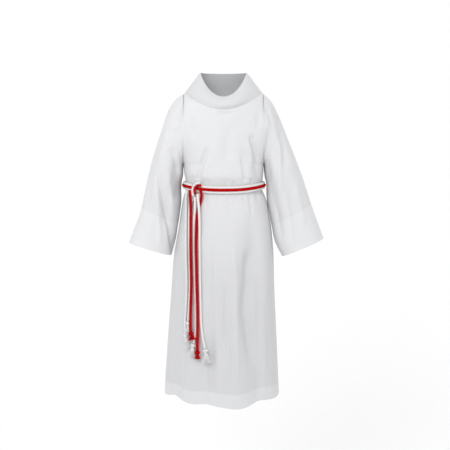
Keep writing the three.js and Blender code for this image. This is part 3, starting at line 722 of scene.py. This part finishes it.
def tubeFaces(rings, sides, offset):
    faces = []
    for k in range(rings - 1):
        for j in range(sides):
            a, b = offset + k * sides + j, offset + k * sides + (j + 1) % sides
            faces.append((a, b, b + sides, a + sides))
    faces.append(tuple(offset + j for j in reversed(range(sides))))
    faces.append(tuple(offset + (rings - 1) * sides + j for j in range(sides)))
    return faces


def joinTubes(name, tubes):
    points, faces = [], []
    for rings in tubes:
        offset = sum(len(p) for p in points)
        points.append(rings.reshape(-1, 3))
        faces += tubeFaces(rings.shape[0], rings.shape[1], offset)
    made = makeObject(name, np.concatenate(points), faces)
    smoothShade(made, 50)
    return made


def ropeRings(path, radius):
    return tubePoints(path, np.full(len(path), radius), rope["sides"], rope["strands"], rope["lay"],
                      rope["groove"])


# A wound end knot and its brushed-out tail, whose yarns spread as they fall.
wound = {"turns": 1.8, "start": 0.003, "length": 0.0085, "radius": 0.0054, "tube": 0.0040, "lay": 0.014,
         "groove": 0.18, "points": 60, "sides": 16, "closing": 0.35}
brushed = {"start": 0.010, "width": 0.0030, "wave": 0.0011, "bend": 0.002, "root": 0.00105, "tip": 0.00045,
           "flare": 1.4, "depth": 0.6, "waveDepth": 0.4, "points": 9, "sides": 5}


def endKnot(name, tip, drop, tail, seed):
    rng = random.Random(seed)
    drop = drop / np.linalg.norm(drop)
    side = unit(np.cross(drop, [0.0, 1.0, 0.0]))
    ahead = np.cross(side, drop)
    turns = np.linspace(0, 1, wound["points"])
    angle = turns * 2 * math.pi * wound["turns"]
    radius = wound["radius"] * np.sin(np.clip(turns, 0.04, 0.96) * math.pi) ** wound["closing"]
    coil = (tip + np.outer(wound["start"] + wound["length"] * turns, drop)
            + np.outer(radius * np.cos(angle), side)
            + np.outer(radius * np.sin(angle), ahead))
    thick = np.full(wound["points"], wound["tube"])
    tubes = [tubePoints(coil, thick, wound["sides"], rope["strands"], wound["lay"], wound["groove"])]
    for _ in range(tail["yarns"]):
        around, out = rng.uniform(0, 2 * math.pi), math.sqrt(rng.uniform(0.02, 1))
        long = tail["length"] * rng.uniform(0.72, 1.0)
        bend = [rng.uniform(-1, 1) for _ in range(2)]
        t = np.linspace(0, 1, brushed["points"])
        wide = brushed["width"] * out + tail["spread"] * out * t ** brushed["flare"]
        wave = brushed["wave"] * np.sin(t * rng.uniform(4, 9) + rng.uniform(0, 6)) * t
        path = (tip + np.outer(brushed["start"] + long * t, drop)
                + np.outer(wide * math.cos(around) + wave + brushed["bend"] * bend[0] * t ** 2, side)
                + np.outer(brushed["depth"] * wide * math.sin(around) + brushed["waveDepth"] * wave, ahead))
        thin = np.linspace(brushed["root"], brushed["tip"], brushed["points"])
        tubes.append(tubePoints(path, thin, brushed["sides"]))
    return joinTubes(name, tubes)


# Routes of the free ends, (x, stand off from the cloth, z), from the knot down to the end knot.
freeEnds = {
    "white_1": {
        "far": {"length": 0.040, "spread": 0.0070, "yarns": 48, "swing": 0},
        "length": 0.47,
        "route": [
            (-0.1215, 0.015, -0.325), (-0.123, 0.015, -0.336), (-0.124, 0.012, -0.348),
            (-0.124, 0.008, -0.362), (-0.1235, 0.0056, -0.390), (-0.124, 0.0056, -0.425),
            (-0.124, 0.0056, -0.465), (-0.124, 0.0056, -0.505), (-0.1235, 0.0056, -0.545),
            (-0.1225, 0.0056, -0.585), (-0.122, 0.0056, -0.625), (-0.1225, 0.0056, -0.665),
            (-0.1245, 0.0056, -0.703), (-0.127, 0.0057, -0.740), (-0.128, 0.0058, -0.768),
            (-0.125, 0.0082, -0.795)],
    },
    "white_2": {
        "far": {"length": 0.038, "spread": 0.0060, "yarns": 44, "swing": 0},
        "length": 0.40,
        "route": [
            (-0.101, 0.006, -0.354), (-0.105, 0.006, -0.361), (-0.108, 0.006, -0.368),
            (-0.1105, 0.0059, -0.378), (-0.112, 0.0058, -0.390), (-0.113, 0.0056, -0.415),
            (-0.113, 0.0056, -0.445), (-0.1123, 0.0056, -0.480), (-0.1115, 0.0056, -0.515),
            (-0.1105, 0.0056, -0.550), (-0.1098, 0.0056, -0.585), (-0.110, 0.0056, -0.620),
            (-0.111, 0.0056, -0.652), (-0.1123, 0.0056, -0.682), (-0.114, 0.0058, -0.710),
            (-0.1155, 0.0064, -0.732), (-0.116, 0.0082, -0.752)],
    },
    "red_1": {
        "far": {"length": 0.021, "spread": 0.0130, "yarns": 110, "swing": 0.0012},
        "length": 0.47,
        "route": [
            (-0.1108, 0.0155, -0.323), (-0.1112, 0.0155, -0.334), (-0.110, 0.0155, -0.346),
            (-0.1088, 0.0155, -0.360), (-0.108, 0.0153, -0.385), (-0.1078, 0.015, -0.420),
            (-0.108, 0.0148, -0.460), (-0.1084, 0.0148, -0.500), (-0.108, 0.0147, -0.535),
            (-0.1072, 0.0146, -0.565), (-0.1064, 0.0146, -0.595), (-0.106, 0.0146, -0.625),
            (-0.1064, 0.0146, -0.660), (-0.1074, 0.0148, -0.695), (-0.1086, 0.015, -0.740),
            (-0.109, 0.0154, -0.784)],
    },
    "white_3": {
        "far": {"length": 0.036, "spread": 0.0080, "yarns": 48, "swing": 0},
        "length": 0.48,
        "route": [
            (-0.095, 0.014, -0.3455), (-0.0938, 0.0142, -0.351), (-0.0932, 0.014, -0.357),
            (-0.0932, 0.0138, -0.364), (-0.0935, 0.0136, -0.377), (-0.094, 0.0126, -0.390),
            (-0.096, 0.010, -0.410), (-0.097, 0.008, -0.430), (-0.0972, 0.0064, -0.458),
            (-0.097, 0.0058, -0.486), (-0.0965, 0.0056, -0.522), (-0.096, 0.0056, -0.560),
            (-0.095, 0.0056, -0.590), (-0.094, 0.0056, -0.620), (-0.093, 0.0056, -0.650),
            (-0.092, 0.0056, -0.680), (-0.0912, 0.0056, -0.710), (-0.091, 0.0056, -0.740),
            (-0.0916, 0.0056, -0.768), (-0.093, 0.0058, -0.795), (-0.098, 0.0082, -0.824)],
    },
    "red_2": {
        "far": {"length": 0.020, "spread": 0.0085, "yarns": 72, "swing": 0},
        "length": 0.52,
        "route": [
            (-0.080, 0.0165, -0.316), (-0.0758, 0.0168, -0.3235), (-0.0732, 0.0162, -0.333),
            (-0.073, 0.0135, -0.345), (-0.0755, 0.0076, -0.359), (-0.080, 0.0058, -0.374),
            (-0.0852, 0.0056, -0.392), (-0.0873, 0.0058, -0.415), (-0.089, 0.0088, -0.450),
            (-0.0905, 0.012, -0.500), (-0.090, 0.0123, -0.530), (-0.089, 0.0124, -0.560),
            (-0.0884, 0.0124, -0.590), (-0.0878, 0.0124, -0.620), (-0.087, 0.0124, -0.650),
            (-0.0862, 0.0124, -0.680), (-0.0854, 0.0124, -0.715), (-0.085, 0.0124, -0.750),
            (-0.0852, 0.0124, -0.780), (-0.0856, 0.0124, -0.810), (-0.0864, 0.0128, -0.846)],
    },
    "white_4": {
        "far": {"length": 0.040, "spread": 0.0150, "yarns": 70, "swing": 0},
        "length": 0.50,
        "route": [
            (-0.0845, 0.0185, -0.336), (-0.084, 0.018, -0.345), (-0.0825, 0.0172, -0.362),
            (-0.0805, 0.016, -0.380), (-0.079, 0.0138, -0.410), (-0.078, 0.0095, -0.446),
            (-0.0785, 0.0058, -0.490), (-0.0782, 0.0057, -0.525), (-0.078, 0.0056, -0.560),
            (-0.0775, 0.0056, -0.590), (-0.077, 0.0056, -0.620), (-0.076, 0.0056, -0.655),
            (-0.075, 0.0056, -0.690), (-0.0744, 0.0056, -0.720), (-0.074, 0.0056, -0.750),
            (-0.069, 0.0058, -0.800), (-0.061, 0.0082, -0.840)],
    },
}
for seed, (name, end) in enumerate(freeEnds.items(), 5):
    color = name.split("_")[0]
    finish, slotName = cordFinish[color]
    path = smoothPath(offFront(end["route"]), rope["step"])
    cord = joinTubes("cord_" + name, [ropeRings(path, fullness[color])])
    dress(cord, finish, "cord_end_" + name)
    drop = path[-1] - path[-4] + np.array([end["far"]["swing"], 0.0, 0.0])
    tail = endKnot("tail_" + name, path[-1], drop, end["far"], seed)
    dress(tail, finish, "end_knot_" + name)
    print("free end", name, "length", round(float(np.linalg.norm(np.diff(path, axis=0), axis=1).sum()), 4))

# The knot's turns over the waist strands.
knotTurns = {
    "white": [(-0.077, 0.010, -0.2985), (-0.085, 0.013, -0.2995), (-0.0925, 0.015, -0.303),
              (-0.099, 0.015, -0.3105), (-0.1025, 0.015, -0.321), (-0.102, 0.015, -0.331),
              (-0.1005, 0.0145, -0.337), (-0.0975, 0.014, -0.3425)],
    "red": [(-0.0735, 0.014, -0.3075), (-0.0815, 0.016, -0.3065), (-0.089, 0.0165, -0.310),
            (-0.0935, 0.0165, -0.318), (-0.0945, 0.0165, -0.328), (-0.0925, 0.0165, -0.335)],
}
for color, route in knotTurns.items():
    finish, slotName = cordFinish[color]
    path = smoothPath(offFront(route), rope["step"])
    turn = joinTubes("turn_" + color, [ropeRings(path, turnRadius)])
    dress(turn, finish, "knot_turn_" + color)


# The waist strands run from one side of the knot round by the back to its other side. From and to
# are places across the front, apart is the step up or down and the middle strand is the proud one.
belt = {"from": -0.4, "to": -0.5, "apart": 0.0078, "proud": 0.0026}


def waistPath(level, proud):
    points = []
    for side, places in (
            (-1, np.linspace(belt["from"], sideReach, 19)), (1, np.linspace(sideReach, -sideReach, 24)),
            (-1, np.linspace(-sideReach, belt["to"], 6))):
        height = smoothBody(places, np.full_like(places, beltRow), side)[:, 2] + level
        row = solveRising(np.full_like(places, beltRow - beltReachRows),
                          np.full_like(places, beltRow + beltReachRows), height,
                          lambda r: smoothBody(places, r, side)[:, 2])
        outward = bodyNormal(places, row, side)
        outward[:, 2] = 0
        points.append(smoothBody(places, row, side) + unit(outward) * (strandStandOff + proud))
    return smoothPath(np.vstack(points), rope["step"])


for place, level, proud, color in (("upper", belt["apart"], 0.0, "white"),
                                   ("middle", 0.0, belt["proud"], "red"),
                                   ("lower", -belt["apart"], 0.0, "white")):
    finish, slotName = cordFinish[color]
    strand = joinTubes("belt_" + place, [ropeRings(waistPath(level, proud), fullness[color])])
    dress(strand, finish, "waist_cord_" + place)
print("cords made")


# Body panels. Each stretch of rows has its first, its last and its count, closest at the belt's gathers.
rowStretches = [(0, 7, 120), (7, 12, 60), (12, collarSeamRow, 64)]
skirtHem = {"rows": 7, "columns": 121}


def panelRows():
    return np.unique(np.concatenate([np.linspace(*stretch) for stretch in rowStretches]))


def bodyWall(name, panel, rows, columns, start, wall):
    across, row = np.meshgrid(np.linspace(-1, 1, columns), rows)
    outer = bodyPoint(panel, across, row, start)
    inner = bodyPoint(panel, across, row, start + wall)
    return wallMesh(name, outer, inner, False, upFrom(outer, True))


# Each cloth's hem height, and how light it is where single, where double, and low down, where it is painted
# greyer as shade.
# The collar is all double, so its hem is taller than the collar itself.
clothLooks = {
    "body": {"hem": 0.046, "single": 0.590, "double": 0.586, "paintedLowShade": 0.538},
    "sleeve": {"hem": 0.112, "single": 0.588, "double": 0.616, "paintedLowShade": 0.588},
    # painted shade: the collar's tone is set darker all over, standing in for the shade on it
    "collar": {"hem": 0.5, "single": 0.542, "double": 0.542, "paintedLowShade": 0.542},
}
cloths = {name: clothMaterial(name + " cloth", **looks) for name, looks in clothLooks.items()}
for name, panel in (("front", front), ("back", back)):
    shell = bodyWall(name + "_cloth", panel, panelRows(), panel["columns"], 0.0, clothWall)
    dress(shell, cloths["body"], name + "_panel")
    hemRows = np.linspace(0, skirtHemRows, skirtHem["rows"])
    hem = bodyWall(name + "_hem", panel, hemRows, skirtHem["columns"], clothWall + seamGap, turnUpWall)
    dress(hem, cloths["body"], "skirt_hem_" + name)
    print(name, "panel made")

# Sleeves.
sleeveNames = "outX outZ inX inZ half y".split()
sleeves = {
    "right": {
        "seed": 23.0,
        "sections": [
            (-0.1345, 0.0005, -0.1355, -0.240, 0.092, 0),
            (-0.160, -0.018, -0.1372, -0.248, 0.089, -0.001),
            (-0.182, -0.045, -0.1375, -0.260, 0.086, -0.002),
            (-0.197, -0.080, -0.1385, -0.277, 0.083, -0.004),
            (-0.209, -0.120, -0.143, -0.298, 0.080, -0.006),
            (-0.224, -0.167, -0.144, -0.325, 0.077, -0.008),
            (-0.242, -0.228, -0.1435, -0.358, 0.073, -0.011),
            (-0.260, -0.300, -0.147, -0.396, 0.069, -0.014),
            (-0.280, -0.388, -0.1535, -0.441, 0.065, -0.017),
            (-0.302, -0.449, -0.1625, -0.493, 0.062, -0.019),
            (-0.322, -0.501, -0.177, -0.545, 0.060, -0.021)],
        "folds": [(118, 96, 17, 3.5, 10.5, -0.008, 0), (62, 70, 18, 2.5, 9, 0.004, 0),
                  (240, 250, 20, 2, 10.5, -0.008, 0), (300, 290, 18, 3, 10, 0.005, 0)],
        "frontCreases": [
            (-0.010, 0.013, 0.009, 0.25, 0.2,
             [(-0.160, -0.215), (-0.157, -0.25), (-0.152, -0.31), (-0.150, -0.37)]),
            (-0.0065, 0.006, 0.014, 0.2, 0.0,
             [(-0.222, -0.250), (-0.215, -0.289), (-0.200, -0.3745), (-0.186, -0.426), (-0.180, -0.460),
              (-0.170, -0.540)]),
            (0.004, 0.010, 0.010, 0.3, 0.2,
             [(-0.228, -0.29), (-0.218, -0.37), (-0.212, -0.46), (-0.214, -0.52)]),
            (0.003, 0.009, 0.009, 0.3, 0.3, [(-0.184, -0.25), (-0.176, -0.32), (-0.168, -0.40)]),
            (-0.004, 0.007, 0.010, 0.3, 0.4, [(-0.176, -0.175), (-0.165, -0.213), (-0.158, -0.25)]),
            (-0.0035, 0.007, 0.010, 0.2, 0.4, [(-0.138, -0.045), (-0.152, -0.075), (-0.166, -0.118)]),
            (-0.0030, 0.006, 0.009, 0.2, 0.4, [(-0.140, -0.085), (-0.152, -0.112), (-0.160, -0.150)]),
            (-0.0030, 0.008, 0.008, 0.3, 0.3, [(-0.236, -0.24), (-0.246, -0.31), (-0.258, -0.40)]),
            (0.0025, 0.010, 0.010, 0.3, 0.3, [(-0.190, -0.12), (-0.204, -0.19), (-0.216, -0.25)]),
        ],
    },
    "left": {
        "seed": 31.0,
        "sections": [
            (0.1345, 0.0005, 0.1355, -0.240, 0.092, 0), (0.158, -0.020, 0.1375, -0.248, 0.089, -0.001),
            (0.174, -0.048, 0.1385, -0.262, 0.086, -0.002),
            (0.191, -0.084, 0.1405, -0.280, 0.083, -0.004),
            (0.207, -0.124, 0.1455, -0.302, 0.080, -0.006),
            (0.226, -0.172, 0.1465, -0.330, 0.077, -0.008),
            (0.248, -0.229, 0.1485, -0.366, 0.073, -0.011),
            (0.273, -0.297, 0.157, -0.408, 0.069, -0.014),
            (0.302, -0.383, 0.1655, -0.452, 0.065, -0.017),
            (0.321, -0.437, 0.1755, -0.500, 0.062, -0.019),
            (0.340, -0.487, 0.199, -0.548, 0.060, -0.021)],
        "folds": [(100, 82, 16, 1.5, 6.5, -0.006, 0), (142, 122, 17, 2.5, 9.5, -0.007, 0),
                  (236, 246, 20, 2, 10.5, -0.008, 0), (292, 284, 18, 3, 10, 0.005, 0)],
        "frontCreases": [
            (-0.006, 0.009, 0.014, 0.25, 0.3,
             [(0.170, -0.060), (0.1815, -0.090), (0.196, -0.160), (0.2015, -0.236), (0.194, -0.275)]),
            (0.0045, 0.010, 0.012, 0.3, 0.3,
             [(0.186, -0.14), (0.190, -0.21), (0.186, -0.30), (0.190, -0.38)]),
            (-0.007, 0.010, 0.012, 0.2, 0.3,
             [(0.151, -0.105), (0.149, -0.17), (0.146, -0.24), (0.150, -0.31)]),
            (-0.004, 0.008, 0.012, 0.3, 0.1,
             [(0.212, -0.29), (0.226, -0.37), (0.240, -0.45), (0.250, -0.53)]),
            (0.0035, 0.010, 0.010, 0.3, 0.2, [(0.236, -0.28), (0.254, -0.36), (0.272, -0.45)]),
            (-0.0035, 0.008, 0.010, 0.3, 0.3, [(0.170, -0.36), (0.182, -0.43), (0.198, -0.50)]),
            (-0.0030, 0.006, 0.009, 0.2, 0.4, [(0.139, -0.050), (0.152, -0.080), (0.163, -0.125)]),
        ],
    },
}
backSleeveCreases = [
    (-0.006, 0.010, 0.012, 0.2, 0.3, [(0.166, -0.10), (0.178, -0.19), (0.186, -0.29)]),
    (-0.005, 0.008, 0.013, 0.3, 0.1, [(0.196, -0.22), (0.210, -0.33), (0.226, -0.47)]),
    (0.004, 0.010, 0.010, 0.3, 0.3, [(0.184, -0.14), (0.204, -0.26), (0.232, -0.40)]),
    (-0.0045, 0.010, 0.010, 0.3, 0.2, [(0.236, -0.27), (0.258, -0.36), (0.280, -0.46)]),
]
sleeveLayers = {
    "cloth": {"from": 0, "rows": 130, "columns": 132, "inward": 0.0, "wall": clothWall},
    "hem": {"from": 8.05, "rows": 14, "columns": 96, "inward": clothWall + seamGap, "wall": turnUpWall},
}
# Relief fades out over these rows at the armhole, and where the cloth turns from front to back.
armholeFade = {"folds": 1.5, "creases": 0.6}
facingFade = 0.25


def smoothSleeve(table, degrees, row):
    s = readTable(table, row)
    angle = np.radians(degrees)
    cosine = np.sign(np.cos(angle)) * np.abs(np.cos(angle)) ** sleevePower
    sine = np.sign(np.sin(angle)) * np.abs(np.sin(angle)) ** sleevePower
    return np.stack([mix(s["inX"], s["outX"], (1 + cosine) / 2), s["y"] - s["half"] * sine,
                     mix(s["inZ"], s["outZ"], (1 + cosine) / 2)], -1)


def sleeveNormal(table, degrees, row):
    s = readTable(table, row)
    across = unit(np.stack([s["outX"] - s["inX"], np.zeros_like(row), s["outZ"] - s["inZ"]], -1))
    step = probe["degrees"]
    along = smoothSleeve(table, degrees + step, row) - smoothSleeve(table, degrees - step, row)
    ahead = np.zeros_like(across)
    ahead[..., 1] = (along * across).sum(-1)
    return unit(across * -along[..., 1:2] + ahead)


def sleevePoint(sleeve, degrees, row, inward):
    table = sleeve["table"]
    smooth = smoothSleeve(table, degrees, row)
    facing = np.sin(np.radians(degrees))
    fade = smoothStep(row / armholeFade["folds"])
    inFront = smoothStep(row / armholeFade["creases"]) * smoothStep(facing / facingFade)
    lift = fade * foldHeight(sleeve["folds"], degrees, row, True)
    x, z = smooth[..., 0], smooth[..., 2]
    lift = lift + inFront * creaseHeight(sleeve["frontCreases"], x, z)
    lift = lift + fade * smoothStep(-facing / facingFade) * creaseHeight(backSleeveCreases, np.abs(x), z)
    lift = lift + fade * unevenness(smooth, sleeve["seed"], unevenHeight["sleeve"]) - inward
    return smooth + sleeveNormal(table, degrees, row) * lift[..., None]


for side, sleeve in sleeves.items():
    sleeve["table"] = asColumns(sleeveNames, sleeve["sections"])
    for name, layer in sleeveLayers.items():
        rows = np.linspace(layer["from"], len(sleeve["sections"]) - 1, layer["rows"])
        turn, row = np.meshgrid(np.linspace(0, 360, layer["columns"], endpoint=False), rows)
        outer = sleevePoint(sleeve, turn, row, layer["inward"])
        inner = sleevePoint(sleeve, turn, row, layer["inward"] + layer["wall"])
        sleeve[name] = wallMesh(f"sleeve_{side}_{name}", outer, inner, True, upFrom(outer, False))
        node = f"sleeve_{side}" if name == "cloth" else f"sleeve_hem_{side}"
        dress(sleeve[name], cloths["sleeve"], node)
print("sleeves made")

# Collar.
collar = {"columns": 200, "rows": 34, "seed": 41.0, "seamFade": 0.8, "folds": [
    (70, 64, 16, -1, 4.4, 0.0018, 0), (112, 118, 15, -1, 4.4, -0.0020, 0),
    (38, 30, 14, -1, 4.4, -0.0016, 0), (146, 152, 14, -1, 4.4, 0.0016, 0),
    (230, 238, 22, -1, 4.4, -0.0020, 0), (300, 292, 22, -1, 4.4, 0.0020, 0)]}


def collarPoint(turn, row):
    s = readTable(collarTable, row)
    isFront = turn < 180
    angle = np.radians(turn)
    swing = np.abs(np.sin(angle))
    lift = smoothStep(row / collar["seamFade"]) * foldHeight(collar["folds"], turn, row, True)
    y = mix(s["sideY"], np.where(isFront, s["frontY"], s["backY"]), swing)
    z = mix(s["sideZ"], np.where(isFront, s["frontZ"], s["backZ"]), swing ** s["dip"])
    x = s["side"] * np.cos(angle)
    return np.stack([x + lift * np.cos(angle), y - lift * np.sin(angle), z], -1)


turn, row = np.meshgrid(np.linspace(0, 360, collar["columns"], endpoint=False),
                        np.linspace(0, len(collarRows) - 1, collar["rows"]))
outer = collarPoint(turn, row)
slow = unevenness(outer, collar["seed"], unevenHeight["collar"])
outer[..., 1] += smoothStep(row / collar["seamFade"]) * slow
before, after = np.roll(outer, 1, axis=1), np.roll(outer, -1, axis=1)
inward = np.stack([before[..., 1] - after[..., 1], after[..., 0] - before[..., 0], np.zeros_like(row)], -1)
inner = outer - unit(inward) * collarWall
collarShell = wallMesh("collar_cloth", outer, inner, True, upFrom(outer, False))
dress(collarShell, cloths["collar"], "collar")
print("collar made")

# Floor, backdrop and light.
studio = {"floor": -1.75, "near": -9.0, "bend": 2.2, "radius": 1.4, "top": 7.0, "half": 14.0,
          "bendSteps": 12}
profile = [(studio["near"], studio["floor"])]
for step in range(studio["bendSteps"] + 1):
    angle = math.radians(90 * step / studio["bendSteps"])
    profile.append((studio["bend"] + studio["radius"] * math.sin(angle),
                    studio["floor"] + studio["radius"] * (1 - math.cos(angle))))
profile.append((studio["bend"] + studio["radius"], studio["top"]))
corners = [(x, y, z) for y, z in profile for x in (-studio["half"], studio["half"])]
strips = [(2 * k, 2 * k + 1, 2 * k + 3, 2 * k + 2) for k in range(len(profile) - 1)]
backdrop = makeObject("backdrop", corners, strips)
smoothShade(backdrop, 60)
pale, _, paper = newMaterial("pale floor")
paper.inputs["Base Color"].default_value = (0.95, 0.95, 0.953, 1)
paper.inputs["Roughness"].default_value = 0.9
backdrop.data.materials.append(pale)

world = bpy.data.worlds.new("studio")
bpy.context.scene.world = world
world.use_nodes = True
world.node_tree.nodes["Background"].inputs["Color"].default_value = (1.0, 1.0, 1.0, 1)
world.node_tree.nodes["Background"].inputs["Strength"].default_value = 1.0


def softLight(name, place, aim, size, power):
    data = bpy.data.lights.new(name, "AREA")
    data.shape = "DISK"
    data.size = size
    data.energy = power
    light = bpy.data.objects.new(name, data)
    light.location = place
    light.rotation_euler = (Vector(aim) - Vector(place)).to_track_quat("-Z", "Y").to_euler()
    bpy.context.scene.collection.objects.link(light)


softLight("key", (-0.75, -2.2, 1.05), (0, 0, -0.3), 1.0, 28)
softLight("fill", (2.4, -3.4, 0.6), (0, 0, -0.4), 2.4, 6)
bpy.context.scene.view_settings.view_transform = "Standard"
print("studio made")
